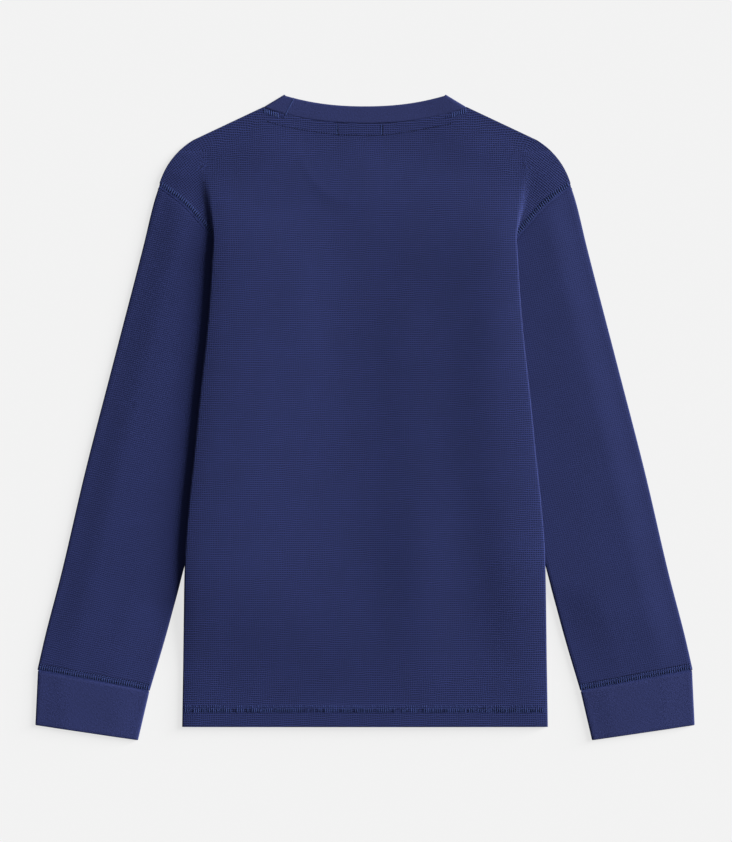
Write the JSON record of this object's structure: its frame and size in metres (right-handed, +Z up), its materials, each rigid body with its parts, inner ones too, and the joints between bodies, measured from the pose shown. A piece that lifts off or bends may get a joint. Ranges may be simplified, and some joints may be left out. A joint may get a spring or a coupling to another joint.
{
  "type": "long-sleeve thermal top",
  "caption": "Long-sleeved thermal top in waffle knit with a plain jersey crew neckband and cuffs, laid flat on its front with the back up and the sleeves drawn down.",
  "frame": {"origin": "on the surface the top lies on, under the middle of the area it covers", "axes": "+X towards the wearer's right, +Y towards the neck, +Z up from the surface, out of the back of the top"},
  "size_m": [0.658, 0.6455, 0.0116],
  "materials": {
    "waffle": "matte",
    "rib": "matte"
  },
  "bodies": {
    "root": {"back": "waffle", "front": "waffle", "sleeve_left": "waffle", "sleeve_right": "waffle", "cuff_left": "rib", "cuff_right": "rib", "neckband": "rib"}
  },
  "joints": []
}
